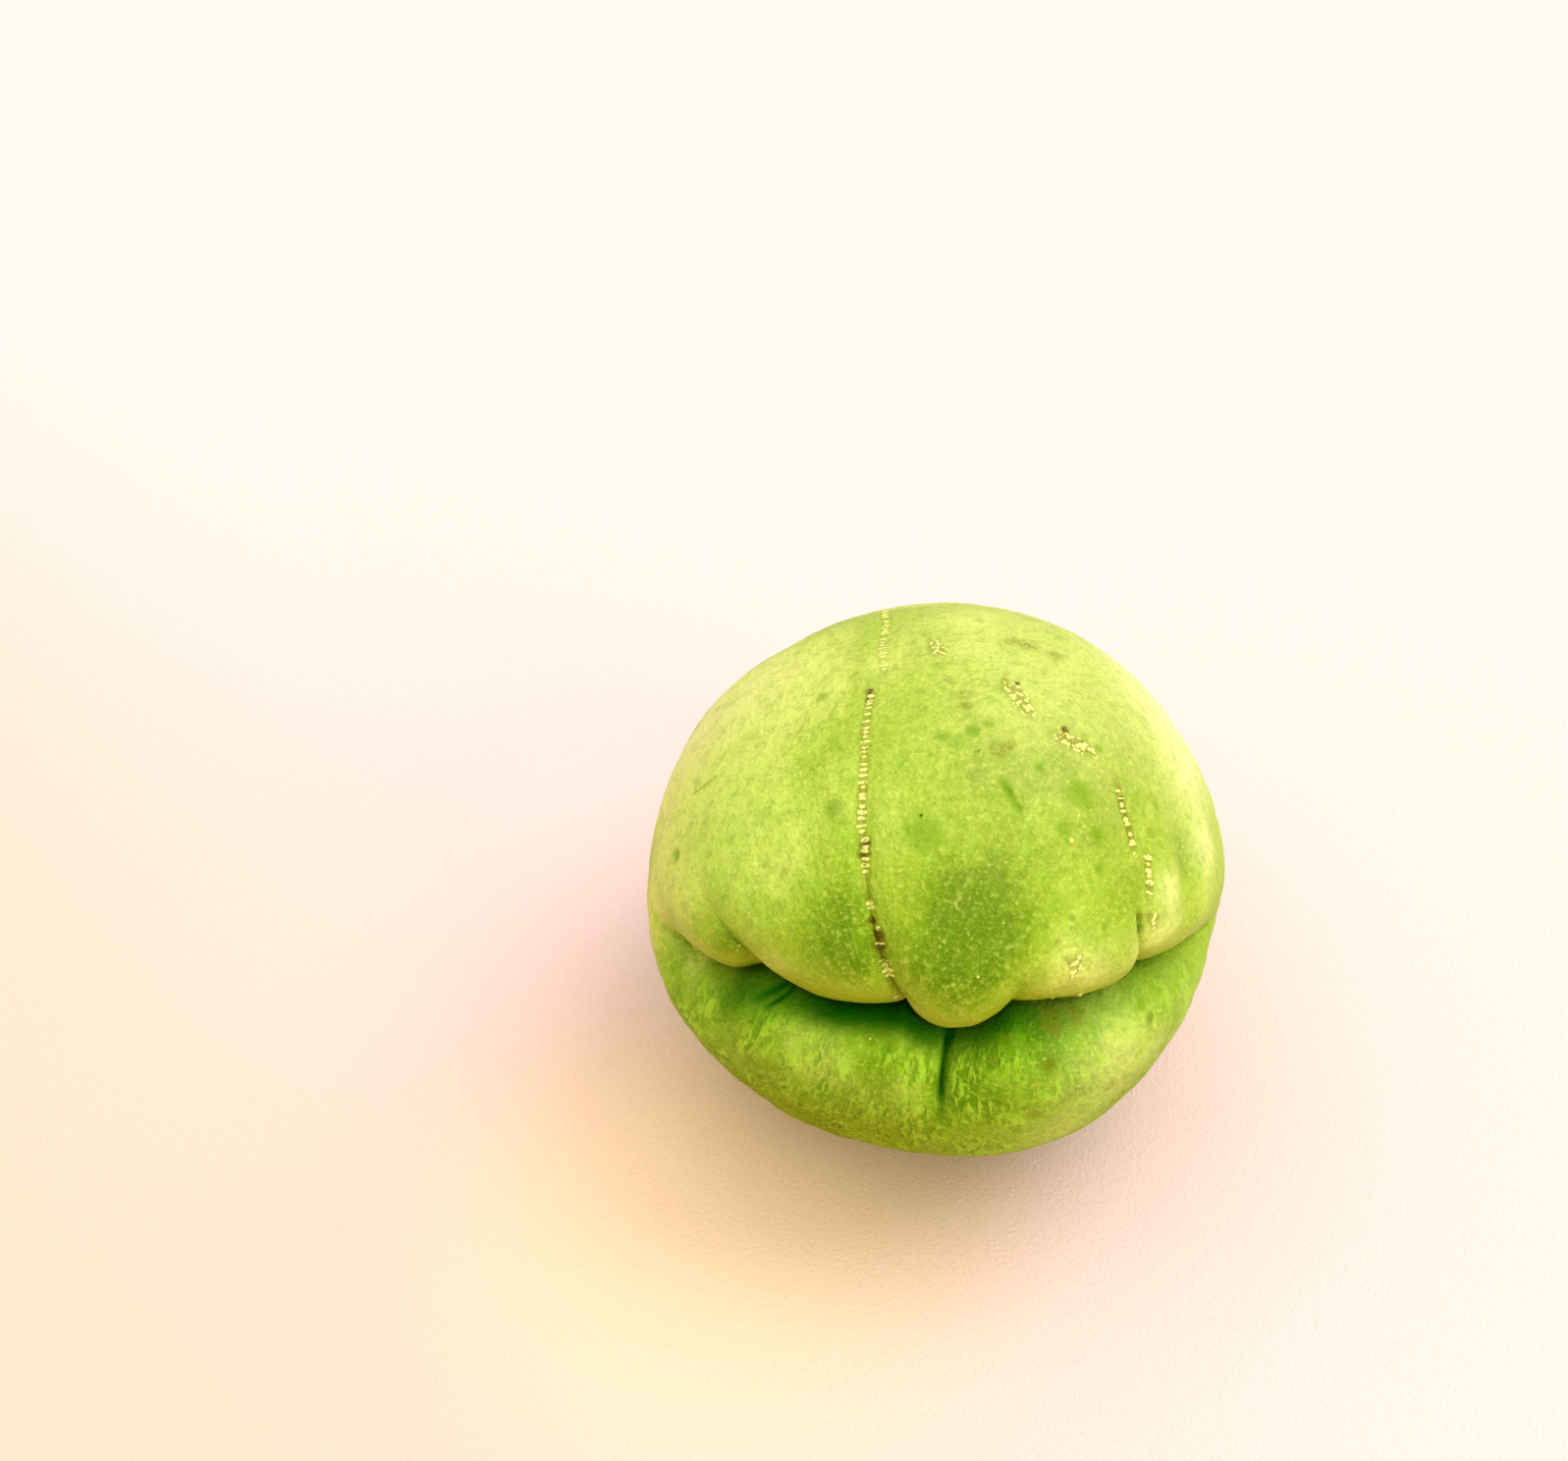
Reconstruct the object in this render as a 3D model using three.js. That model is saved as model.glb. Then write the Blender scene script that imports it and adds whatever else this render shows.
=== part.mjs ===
// A chayote squash, one whole fruit as picked, lying on its side.
// +Z is up, -Y is the blossom end with its folded mouth, +Y is the stem end, and +X is on the right when
// the mouth is faced. The origin is under the middle of the fruit, on the surface that it lies on.
//
// The skin is one closed surface around the middle of the fruit, with one point for each direction from
// there. A plain egg-like body gives the bulk, soft swellings round it out, and folds are pressed into it.

import * as THREE from 'three';
import { mergeVertices } from 'three/addons/utils/BufferGeometryUtils.js';

// ---------------------------------------------------------------- driving dimensions, mm and degrees

const HALF_WIDTH = 44;            // flank to middle, in the wide blossom half
const BLOSSOM_LENGTH = 58;        // blossom end to middle
const STEM_LENGTH = 64;           // middle to stem end
const HALF_THICKNESS = 40.3;      // belly to middle, in the wide blossom half
const PROFILE_POWER = 2.25;       // of the long profile: 2 is an ellipse, more is blunter at both ends
const BLOSSOM_TILT = 14;          // how far the blossom end is raised as the fruit lies
const REST_FLAT = 0.8;            // height of skin pressed flat where the fruit lies

// The cross-section's scale along the fruit, from -1 at the blossom end to 1 at the stem end.
const TAPER = [
  [-1, 1],
  [-0.15, 1],
  [0.25, 0.89],
  [0.6, 0.79],
  [0.85, 0.81],
  [1, 0.88],
];

// Soft swellings and flats, each around one direction: azimuth from the blossom end, elevation above the
// mouth, spread in degrees and height in mm.
const SWELLINGS = [
  [-50, 48, 28, -1.9],            // flatter shoulder, -X side
  [50, 55, 26, 1.8],              // fuller shoulder, +X side
  [10, 10, 13, 1.5],              // tongue, the middle lobe over the mouth
  [-12, 12, 14, 1.0],             // broad lobe beside it
  [33, 14, 12, 1.0],              // lobe on its other side
  [-38, 9, 10, 1.0],              // small outer lobe, -X side
  [60, 14, 14, 1.2],              // outer lobe, +X side
  [51.5, 22, 6, 0.5],             // its crest
  [0, -20, 30, -1.0],             // lower lip, set back under the lobes
  [-25, -25, 20, 0.6],
  [-16, -14, 12, 0.7],
  [32, -22, 20, 0.9],
  [26, -12, 12, 0.7],
  [48, -38, 22, 1.3],
  [-42, -36, 26, -0.7],
  [-57, -19, 20, 1.2],            // fuller flank below the mouth's end, -X side
  [5, -62, 35, -0.2],             // belly
];

// Height of the mouth line over the blossom end, by azimuth. It hangs lowest under each lobe.
const MOUTH_LINE = [
  [-90, 5],
  [-66, 3.5],
  [-57, -1.6],
  [-54, -3.6],
  [-50, -4.3],
  [-45, -4],
  [-40, -3.4],
  [-34, -2.3],
  [-28.5, 0],
  [-24, 0.3],
  [-13, -0.6],
  [1.8, 0.5],
  [4.5, -0.8],
  [7, -1.8],
  [10.5, -2.3],
  [14, -1.9],
  [18.5, 0.1],
  [22, 2],
  [27, 2],
  [33, 1.5],
  [38, 1.3],
  [44, 1.6],
  [48, 2.6],
  [54, 1.9],
  [72, -1.2],
  [90, -3],
];
const MOUTH_DEPTH = 9;
const UPPER_LIP = 11;             // how far from the line the upper lip starts to roll in
const LOWER_LIP = 10;
const MOUTH_END_MINUS_X = [47, 59];   // azimuths between which the fold dies out, on the -X side
const MOUTH_END_PLUS_X = [60, 86];

// Folds that run off the mouth. Each point is azimuth, elevation, depth; the two sides of a fold are lips
// that meet along the line.
const UPPER_FOLDS = [
  {
    lip: 6,                       // between the broad lobe and the tongue
    points: [
      [2, 0, 3], [1.8, 5, 3], [-1.9, 13, 2.4], [-5.1, 21, 1.6], [-8, 29, 0.9], [-10.5, 36, 0.4],
      [-13, 43, 0],
    ],
  },
  {
    lip: 6,                       // between the small outer lobe and the broad lobe
    points: [[-26.8, -1, 2.5], [-27.8, 4, 3], [-31, 8, 2.2], [-34.5, 11, 1.4], [-38, 13, 0.7], [-42, 16, 0]],
  },
  {
    lip: 5,                       // beside the tongue, +X side
    points: [[22, 0, 1.5], [22, 8, 1.3], [25, 14, 0]],
  },
  {
    lip: 4.5,                     // between the two lobes of the +X side
    points: [[48, 1, 2.5], [47, 5, 2.5], [45.4, 11, 2], [44.4, 15, 1.5], [43.8, 19, 0.9], [44, 25, 0]],
  },
];
const LOWER_FOLDS = [
  {
    lip: 2.8,                     // cleft in the middle of the lower lip
    points: [
      [12.3, 2, 2.2], [11.7, -2, 2.4], [10.5, -8, 2.4], [10.2, -14, 1.8], [10.7, -19, 0.8], [10.8, -24, 0],
    ],
  },
  {
    lip: 10,                      // the wider dip around that cleft
    points: [[12, 0, 1.8], [10.4, -9, 1.8], [10.5, -20, 1], [10.5, -32, 0]],
  },
];

// Soft troughs in the lobes, each point as above.
const TROUGHS = [
  {
    halfWidth: 3.2,               // behind the crest of the outer lobe, +X side
    points: [[63, 36, 0], [60.5, 28, 0.9], [58.5, 21, 1.3], [57, 15, 1.1], [58, 9, 0]],
  },
  {
    halfWidth: 2.5,               // across the small outer lobe, -X side
    points: [[-38, 14, 0], [-37, 10, 0.6], [-35, 6, 0.5], [-34, 3, 0]],
  },
];

// The stem end: a small pit, and folds that radiate from it at these angles round the long axis.
const STEM_PIT_DEPTH = 5;
const STEM_PIT_SPREAD = 6;
const STEM_FOLDS = [
  [20, 4],
  [95, 3.2],
  [160, 4],
  [235, 3.6],
  [300, 3.2],
];
const STEM_FOLD_LIP = 6;
const STEM_FOLD_ENDS = [8, 34];   // degrees from the stem pit between which the folds die out

// Grid of the surface: columns across each quarter of the girth, rows from belly to back.
const COLUMNS = 26;
const ROWS = 34;
const ROW_CROWDING = 0.55;        // how much closer together the rows lie at the mouth
const ROW_REACH = 34;             // degrees from the mouth in which the rows bend to follow it

// ---------------------------------------------------------------- curves and directions

const { clamp, degToRad, radToDeg, smoothstep } = THREE.MathUtils;

// A smooth curve through points [x, y] that never overshoots them, level at both ends.
function curveThrough(points) {
  const last = points.length - 1;
  const slopes = points.map(([x, y], i) => {
    if (i === 0 || i === last) {
      return 0;
    }
    const before = (y - points[i - 1][1]) / (x - points[i - 1][0]);
    const after = (points[i + 1][1] - y) / (points[i + 1][0] - x);
    return before * after <= 0 ? 0 : 2 * before * after / (before + after);
  });
  return (value) => {
    const x = clamp(value, points[0][0], points[last][0]);
    const i = Math.min(last - 1, points.findLastIndex((point) => point[0] <= x));
    const width = points[i + 1][0] - points[i][0];
    const t = (x - points[i][0]) / width;
    const rise = t * t * (3 - 2 * t);
    const y = points[i][1] * (1 - rise) + points[i + 1][1] * rise;
    return y + width * t * (1 - t) * (slopes[i] * (1 - t) - slopes[i + 1] * t);
  };
}

const taperAt = curveThrough(TAPER);
const mouthHeightAt = curveThrough(MOUTH_LINE);

// Unit vector at an azimuth from the blossom end and an elevation, in degrees.
function directionAt(azimuth, elevation) {
  const a = degToRad(azimuth);
  const e = degToRad(elevation);
  return new THREE.Vector3(Math.sin(a) * Math.cos(e), -Math.cos(a) * Math.cos(e), Math.sin(e));
}

function azimuthOf(direction) {
  return radToDeg(Math.atan2(direction.x, -direction.y));
}

// ---------------------------------------------------------------- the fruit's bulk

// Point of the plain body, before swellings and folds.
function bodyPoint(direction) {
  const girth = Math.hypot(direction.x, direction.z) ** PROFILE_POWER;
  const length = Math.abs(direction.y) ** PROFILE_POWER;
  const unit = direction.clone().divideScalar((girth + length) ** (1 / PROFILE_POWER));
  const scale = taperAt(unit.y);
  const reach = unit.y < 0 ? BLOSSOM_LENGTH : STEM_LENGTH;
  return new THREE.Vector3(
    HALF_WIDTH * scale * unit.x,
    reach * unit.y,
    HALF_THICKNESS * scale * unit.z,
  );
}

function swelling(direction) {
  let height = 0;
  for (const [azimuth, elevation, spread, top] of SWELLINGS) {
    const away = radToDeg(direction.angleTo(directionAt(azimuth, elevation)));
    height += top * Math.exp(-((away / spread) ** 2));
  }
  return height;
}

// ---------------------------------------------------------------- folds

// Two round lips that meet: 1 on the line, 0 where the lip starts, upright where they touch.
function lips(distance, reach) {
  const t = clamp(distance / reach, 0, 1);
  return 1 - Math.sqrt(1 - (1 - t) ** 2);
}

// How strongly the mouth is folded in at an azimuth.
function mouthStrength(azimuth) {
  return (1 - smoothstep(-azimuth, ...MOUTH_END_MINUS_X)) * (1 - smoothstep(azimuth, ...MOUTH_END_PLUS_X));
}

function mouthFold(azimuth, overMouth) {
  const reach = overMouth > 0 ? UPPER_LIP : LOWER_LIP;
  return MOUTH_DEPTH * mouthStrength(azimuth) * lips(Math.abs(overMouth), reach);
}

// The line of a fold or trough on the plain body, as short straight steps with their depths.
const STEPS_PER_POINT = 4;

function lineSteps(points) {
  const curve = new THREE.CatmullRomCurve3(
    points.map(([azimuth, elevation]) => bodyPoint(directionAt(azimuth, elevation))),
    false,
    'catmullrom',
  );
  const count = STEPS_PER_POINT * (points.length - 1);
  const steps = [];
  for (let i = 0; i <= count; i += 1) {
    const along = i / STEPS_PER_POINT;
    const from = Math.min(points.length - 2, Math.floor(along));
    const depth = THREE.MathUtils.lerp(points[from][2], points[from + 1][2], along - from);
    steps.push({ place: curve.getPoint(i / count), depth });
  }
  return steps;
}

const withSteps = (line) => ({ ...line, steps: lineSteps(line.points) });
const upperFolds = UPPER_FOLDS.map(withSteps);
const lowerFolds = LOWER_FOLDS.map(withSteps);
const troughs = TROUGHS.map(withSteps);

// How far a point is from such a line, and the line's depth there.
function nearLine(body, steps) {
  const segment = new THREE.Line3();
  const nearest = new THREE.Vector3();
  let closest = Infinity;
  let depth = 0;
  for (let i = 1; i < steps.length; i += 1) {
    segment.set(steps[i - 1].place, steps[i].place);
    const t = segment.closestPointToPointParameter(body, true);
    const distance = segment.at(t, nearest).distanceTo(body);
    if (distance < closest) {
      closest = distance;
      depth = THREE.MathUtils.lerp(steps[i - 1].depth, steps[i].depth, t);
    }
  }
  return { distance: closest, depth };
}

function foldDepth(body, { lip, steps }) {
  const { distance, depth } = nearLine(body, steps);
  return depth * lips(distance, lip);
}

function troughDepth(body, { halfWidth, steps }) {
  const { distance, depth } = nearLine(body, steps);
  return depth * Math.exp(-((distance / halfWidth) ** 2));
}

// Pit and folds of the stem end.
function stemFold(direction, body) {
  const fromStem = radToDeg(Math.acos(clamp(direction.y, -1, 1)));
  let depth = STEM_PIT_DEPTH * Math.exp(-((fromStem / STEM_PIT_SPREAD) ** 2));
  const strength = 1 - smoothstep(fromStem, ...STEM_FOLD_ENDS);
  for (const [angle, fold] of STEM_FOLDS) {
    const along = Math.cos(degToRad(angle)) * body.x + Math.sin(degToRad(angle)) * body.z;
    const across = Math.cos(degToRad(angle)) * body.z - Math.sin(degToRad(angle)) * body.x;
    if (along > 0) {
      depth += fold * strength * lips(Math.abs(across), STEM_FOLD_LIP);
    }
  }
  return depth;
}

// ---------------------------------------------------------------- the skin

function skinPoint(direction) {
  const body = bodyPoint(direction);
  const azimuth = azimuthOf(direction);
  const overMouth = body.z - mouthHeightAt(azimuth);
  const folds = overMouth > 0 ? upperFolds : lowerFolds;
  let push = swelling(direction) - mouthFold(azimuth, overMouth) - stemFold(direction, body);
  for (const fold of folds) {
    push -= foldDepth(body, fold);
  }
  for (const trough of troughs) {
    push -= troughDepth(body, trough);
  }
  return body.addScaledVector(body.clone().normalize(), push);
}

// Elevation at which the plain body reaches the mouth line.
function mouthElevation(azimuth) {
  const target = mouthHeightAt(azimuth);
  let elevation = 0;
  for (let round = 0; round < 4; round += 1) {
    const here = bodyPoint(directionAt(azimuth, elevation)).z;
    const ahead = bodyPoint(directionAt(azimuth, elevation + 1)).z;
    elevation += (target - here) / (ahead - here);
  }
  return elevation * mouthStrength(azimuth);
}

// Direction of a grid point of the cube with corners at -1 and 1. The rows crowd at the mouth and bend to
// follow it, so that an edge of the mesh lies along the bottom of the fold.
function gridDirection(x, y, z) {
  const row = z * (1 - ROW_CROWDING) + ROW_CROWDING * z ** 3;
  const spread = (value) => Math.tan(value * Math.PI / 4);
  const direction = new THREE.Vector3(spread(x), spread(y), spread(row)).normalize();
  const azimuth = azimuthOf(direction);
  const elevation = radToDeg(Math.asin(direction.z));
  const bend = 1 - smoothstep(Math.abs(elevation), 0, ROW_REACH);
  return directionAt(azimuth, elevation + mouthElevation(azimuth) * bend);
}

function fruitGeometry() {
  const geometry = new THREE.BoxGeometry(2, 2, 2, COLUMNS, COLUMNS, ROWS);
  geometry.deleteAttribute('normal');
  geometry.deleteAttribute('uv');
  const merged = mergeVertices(geometry);
  const position = merged.attributes.position;
  for (let i = 0; i < position.count; i += 1) {
    const direction = gridDirection(position.getX(i), position.getY(i), position.getZ(i));
    position.setXYZ(i, ...skinPoint(direction));
  }
  merged.rotateX(-degToRad(BLOSSOM_TILT));

  // Press the underside flat where it lies, and stand it on the origin.
  merged.computeBoundingBox();
  const floor = merged.boundingBox.min.z + REST_FLAT;
  for (let i = 0; i < position.count; i += 1) {
    position.setZ(i, Math.max(position.getZ(i), floor));
  }
  merged.computeBoundingBox();
  const middle = merged.boundingBox.getCenter(new THREE.Vector3());
  merged.translate(-middle.x, -middle.y, -floor);
  merged.computeVertexNormals();
  return merged;
}

// ---------------------------------------------------------------- the part

const skin = new THREE.MeshStandardMaterial({ color: 0xb2cb4d, roughness: 0.5, metalness: 0 });

const chayote = new THREE.Mesh(fruitGeometry(), skin);
chayote.name = 'chayote';

const group = new THREE.Group();
group.add(chayote);

export default group;
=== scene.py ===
"""A chayote squash as picked, lying on a plain pale floor.

The fruit's skin is one closed surface with a point for each direction from the fruit's middle. It has the
same body, swellings and folds as the CAD solid, on a finer mesh, and adds what is too small for that
solid: the corky seams and patches, warts, dimples and nicks. Places on the fruit are given by azimuth from
its blossom end and elevation, seen from its middle, in degrees. Lengths are millimetres, except those of the
stage, which are metres; the mesh is turned and scaled into the frame's metres at its end.
"""
import math

import bpy
import numpy as np
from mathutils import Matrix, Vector, noise


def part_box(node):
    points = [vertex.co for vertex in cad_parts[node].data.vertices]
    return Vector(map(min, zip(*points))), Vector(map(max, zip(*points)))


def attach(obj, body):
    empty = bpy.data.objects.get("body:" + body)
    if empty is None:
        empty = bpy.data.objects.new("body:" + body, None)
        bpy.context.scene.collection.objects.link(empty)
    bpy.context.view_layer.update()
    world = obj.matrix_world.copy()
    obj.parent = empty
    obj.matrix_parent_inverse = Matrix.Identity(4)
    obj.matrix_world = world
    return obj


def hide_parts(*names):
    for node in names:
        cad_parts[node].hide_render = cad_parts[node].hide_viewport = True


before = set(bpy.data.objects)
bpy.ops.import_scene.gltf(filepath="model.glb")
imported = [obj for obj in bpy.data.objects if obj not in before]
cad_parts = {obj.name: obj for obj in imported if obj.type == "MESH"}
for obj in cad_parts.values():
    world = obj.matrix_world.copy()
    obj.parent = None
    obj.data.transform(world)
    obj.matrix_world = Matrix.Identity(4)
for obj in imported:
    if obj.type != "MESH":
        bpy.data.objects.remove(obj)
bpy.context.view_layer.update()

NODE = "chayote"
MM = 0.001

# ------------------------------------------------------------------ the fruit's body, as in the CAD solid

HALF_WIDTH = 44
BLOSSOM_LENGTH = 58
STEM_LENGTH = 64
HALF_THICKNESS = 40.3
PROFILE_POWER = 2.25
BLOSSOM_TILT = 14
REST_FLAT = 0.8

# How thick the body is, from its blossom end at -1 to its stem end at 1, as a share of its thickest.
TAPER = [(-1, 1), (-0.15, 1), (0.25, 0.89), (0.6, 0.79), (0.85, 0.81), (1, 0.88)]

# Soft rises and hollows: azimuth, elevation, spread, height.
SWELLINGS = [
    (-50, 48, 28, -1.9),  # shoulder, -X side
    (50, 55, 26, 1.8),  # shoulder, +X side
    (10, 10, 13, 1.5),  # tongue, the middle lobe over the mouth
    (-12, 12, 14, 1.0),  # broad lobe beside it
    (33, 14, 12, 1.0),  # lobe on its other side
    (-38, 9, 10, 1.0),  # small outer lobe, -X side
    (60, 14, 14, 1.2),  # outer lobe, +X side
    (51.5, 22, 6, 0.5),  # its crest
    (0, -20, 30, -1.0),  # lower lip, set back under the lobes
    (-25, -25, 20, 0.6),
    (-16, -14, 12, 0.7),
    (32, -22, 20, 0.9),
    (26, -12, 12, 0.7),
    (48, -38, 22, 1.3),
    (-42, -36, 26, -0.7),
    (-57, -19, 20, 1.2),  # flank below the mouth's end, -X side
    (5, -62, 35, -0.2),  # belly
]

# Height of the mouth over the fruit's middle, by azimuth.
MOUTH_LINE = [
    (-90, 5), (-66, 3.5), (-57, -1.6), (-54, -3.6), (-50, -4.3), (-45, -4), (-40, -3.4), (-34, -2.3),
    (-28.5, 0), (-24, 0.3), (-13, -0.6),
    (1.8, 0.5), (4.5, -0.8), (7, -1.8), (10.5, -2.3), (14, -1.9), (18.5, 0.1), (22, 2), (27, 2),
    (33, 1.5), (38, 1.3), (44, 1.6), (48, 2.6), (54, 1.9), (72, -1.2), (90, -3),
]
# How deep the mouth is folded in, and how far above and below it the lips round off.
MOUTH_DEPTH = 9
UPPER_LIP = 11
LOWER_LIP = 10
# Azimuths, without their sign, between which the mouth fades out on each side.
MOUTH_END_MINUS_X = (47, 59)
MOUTH_END_PLUS_X = (60, 86)

# Folds off the mouth: how far each lip reaches, then azimuth, elevation and depth along the fold.
UPPER_FOLDS = [
    (6, [(2, 0, 3), (1.8, 5, 3), (-1.9, 13, 2.4), (-5.1, 21, 1.6), (-8, 29, 0.9), (-10.5, 36, 0.4),
         (-13, 43, 0)]),
    (6, [(-26.8, -1, 2.5), (-27.8, 4, 3), (-31, 8, 2.2), (-34.5, 11, 1.4), (-38, 13, 0.7), (-42, 16, 0)]),
    (5, [(22, 0, 1.5), (22, 8, 1.3), (25, 14, 0)]),
    (4.5, [(48, 1, 2.5), (47, 5, 2.5), (45.4, 11, 2), (44.4, 15, 1.5), (43.8, 19, 0.9), (44, 25, 0)]),
]
LOWER_FOLDS = [
    (2.8, [(12.3, 2, 2.2), (11.7, -2, 2.4), (10.5, -8, 2.4), (10.2, -14, 1.8), (10.7, -19, 0.8),
           (10.8, -24, 0)]),
    (10, [(12, 0, 1.8), (10.4, -9, 1.8), (10.5, -20, 1), (10.5, -32, 0)]),
]

STEM_PIT_DEPTH = 5
STEM_PIT_SPREAD = 6
# Folds that run out from the pit: angle and depth of each. They fade between two angles from the stem.
STEM_FOLDS = [(20, 4), (95, 3.2), (160, 4), (235, 3.6), (300, 3.2)]
STEM_FOLD_LIP = 6
STEM_FOLD_ENDS = (8, 34)

# ------------------------------------------------------------------ what is finer than the CAD solid

# Two short creases in the lower lip, as the folds above.
LIP_CREASES = [
    (1.3, [(-19.5, 2, 1.2), (-20.6, -1, 1.2), (-21.5, -2.2, 1.0), (-23.1, -3.6, 0.6), (-24, -4.8, 0)]),
    (2.2, [(-20.8, 2, 0.5), (-22.3, -0.7, 0.6), (-24.8, -2.3, 0.4), (-28, -4.8, 0)]),
]

# Soft troughs: half width, then azimuth, elevation and depth along each.
TROUGHS = [
    (3.2, [(63, 36, 0), (60.5, 28, 0.9), (58.5, 21, 1.3), (57, 15, 1.1), (58, 9, 0)]),
    (2.5, [(-38, 14, 0), (-37, 10, 0.6), (-35, 6, 0.5), (-34, 3, 0)]),
]
# Nicks in the skin, given like the troughs.
NICKS = [
    (0.6, [(18, 46, 0), (19, 44.4, 0.45), (20.5, 42.2, 0.45), (21.7, 40.3, 0.35), (22.5, 38.8, 0)]),
    (0.35, [(-56.4, 23.8, 0), (-55.6, 25.1, 0.25), (-54, 27.6, 0.25), (-52.5, 29.9, 0.2), (-51.5, 31, 0)]),
    (0.4, [(-43.8, 29, 0), (-43.4, 31.2, 0.25), (-43.2, 33, 0)]),
    (0.45, [(44.6, 12, 0), (44.2, 15, 0.4), (43.9, 17.5, 0.4), (44.2, 20.5, 0)]),
    (0.8, [(22.5, 38.8, 0), (23.5, 36.3, 0.12), (24.8, 33.5, 0.08), (26.1, 31.1, 0.12), (27, 28, 0)]),
    (0.7, [(-8, 66, 0), (2, 62, 0.1), (9, 58.5, 0.14), (14, 53, 0)]),
]

# Painted shade just below the mouth, where the upper lip hangs over it: how strong it is, by azimuth.
MOUTH_SHADE = [
    (-70, 0), (-52, 0.1), (-42, 0.15), (-36, 0.35), (-30, 0.8), (-24, 0.75), (-10, 1), (2, 1), (13, 0.8),
    (20, 0.9), (28, 0.6), (36, 0.35), (45, 0.35), (52, 0.3), (70, 0),
]
# How far down that painted shade reaches.
SHADE_REACH = [(-60, 3), (-40, 3), (-32, 8), (-25, 7), (-18, 4), (2, 4), (14, 4), (26, 5), (34, 5), (50, 5)]

# Corky seams: azimuth, elevation and strength along each.
SEAMS = [
    [(180, 40, 0), (-150, 62, 0.3), (-105, 73, 0.6), (-65, 74.6, 0.8), (-50, 72.5, 0.9), (-40, 69.7, 0.9),
     (-33, 67.6, 0.8), (-23.5, 63.4, 0.5)],
    [(-23.4, 60, 0.5), (-23.1, 58, 1), (-19.6, 53.5, 1), (-17.1, 50.1, 1), (-14.5, 45.4, 1),
     (-12.7, 41.5, 1), (-11.5, 38.3, 1), (-10.6, 35.2, 1), (-9.1, 33.3, 1), (-8.3, 30.9, 1),
     (-7, 25.7, 0.6), (-4.9, 21.8, 0.3), (-3.4, 19.4, 0.5), (-3, 17.2, 0.5), (-1.8, 13.3, 0.8),
     (-0.6, 10.7, 0.9), (0.5, 6.3, 0.5), (1.4, 2, 0.1)],
    [(46.4, 42, 0.2), (46.2, 40.1, 0.8), (45.8, 37.3, 1), (45.7, 34.5, 1), (45.8, 32.8, 1), (45.5, 30.5, 1),
     (45.5, 28.5, 0.3)],
    [(48.4, 28, 0.4), (48.2, 27, 0.8), (47.7, 25.4, 1), (47.2, 22.9, 0.9), (46.3, 20.5, 0.3)],
]
# How brown the skin is between the beads of each seam.
SEAM_STAINS = (0.4, 0.55, 0.95, 0.95)
SEAM_HALF_WIDTH = 0.9
SEAM_REACH = 4
SEAM_GROOVE = 0.25
SEAM_GROOVE_HALF_WIDTH = 1.6

# The beads of cork on a seam, and how much they differ.
MOST_BEADS = 400
BEAD_PITCH = 0.95
BEAD_HALF_WIDTH = 0.68
BEAD_HALF_LENGTH = 0.36
BEAD_HEIGHT = 0.16
BEAD_SIZES = (0.6, 1.3)
BEAD_SHIFT = 0.28
BEAD_SEED = 10

# Unevenness of the skin: height, size and seed of each layer. The lips have a layer of their own.
UNEVENNESS = [(0.35, 26, 1), (0.20, 7, 2), (0.05, 2.2, 3)]
UPPER_UNEVENNESS = 0.04
LOWER_UNEVENNESS = 0.13
LIP_UNEVENNESS_SIZE = 3.2
LIP_UNEVENNESS_SEED = 6

# The grid of the surface, and how far from the mouth, a fold or a seam it is split finer.
COLUMNS = 84
ROWS = 84
ROW_CROWDING = 0.3
ROW_REACH = 34
STEPS_PER_POINT = 4
FINE_OVER_MOUTH = (-3, 3.5)
FINE_AT_FOLD = 2.2
FINE_AT_SEAM = 0.75
FINE_REACH = 3

# Distance round the fruit that one radian stands for in its long streaks.
STREAK_RADIUS = 30


def smoothstep(x, low, high):
    t = np.clip((x - low) / (high - low), 0, 1)
    return t * t * (3 - 2 * t)


def curve_through(points):
    """A smooth curve through points (x, y) that never overshoots them, level at both ends."""
    x, y = np.array(points, float).T
    rise = np.diff(y) / np.diff(x)
    slope = np.zeros(len(x))
    for i in range(1, len(x) - 1):
        before, after = rise[i - 1], rise[i]
        slope[i] = 0 if before * after <= 0 else 2 * before * after / (before + after)

    def at(values):
        values = np.clip(values, x[0], x[-1])
        i = np.clip(np.searchsorted(x, values, side="right") - 1, 0, len(x) - 2)
        width = x[i + 1] - x[i]
        t = (values - x[i]) / width
        blend = t * t * (3 - 2 * t)
        level = y[i] * (1 - blend) + y[i + 1] * blend
        return level + width * t * (1 - t) * (slope[i] * (1 - t) - slope[i + 1] * t)

    return at


taper_at = curve_through(TAPER)
mouth_height_at = curve_through(MOUTH_LINE)
mouth_shade_at = curve_through(MOUTH_SHADE)
shade_reach_at = curve_through(SHADE_REACH)


def direction_at(azimuth, elevation):
    a, e = np.radians(azimuth), np.radians(elevation)
    return np.stack([np.sin(a) * np.cos(e), -np.cos(a) * np.cos(e), np.sin(e)], -1)


def azimuth_of(directions):
    return np.degrees(np.arctan2(directions[:, 0], -directions[:, 1]))


def body_points(directions):
    """Points of the plain body, before swellings and folds."""
    girth = np.hypot(directions[:, 0], directions[:, 2]) ** PROFILE_POWER
    length = np.abs(directions[:, 1]) ** PROFILE_POWER
    unit = directions / ((girth + length) ** (1 / PROFILE_POWER))[:, None]
    scale = taper_at(unit[:, 1])
    reach = np.where(unit[:, 1] < 0, BLOSSOM_LENGTH, STEM_LENGTH)
    return np.stack([HALF_WIDTH * scale * unit[:, 0], reach * unit[:, 1],
                     HALF_THICKNESS * scale * unit[:, 2]], 1)


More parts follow.
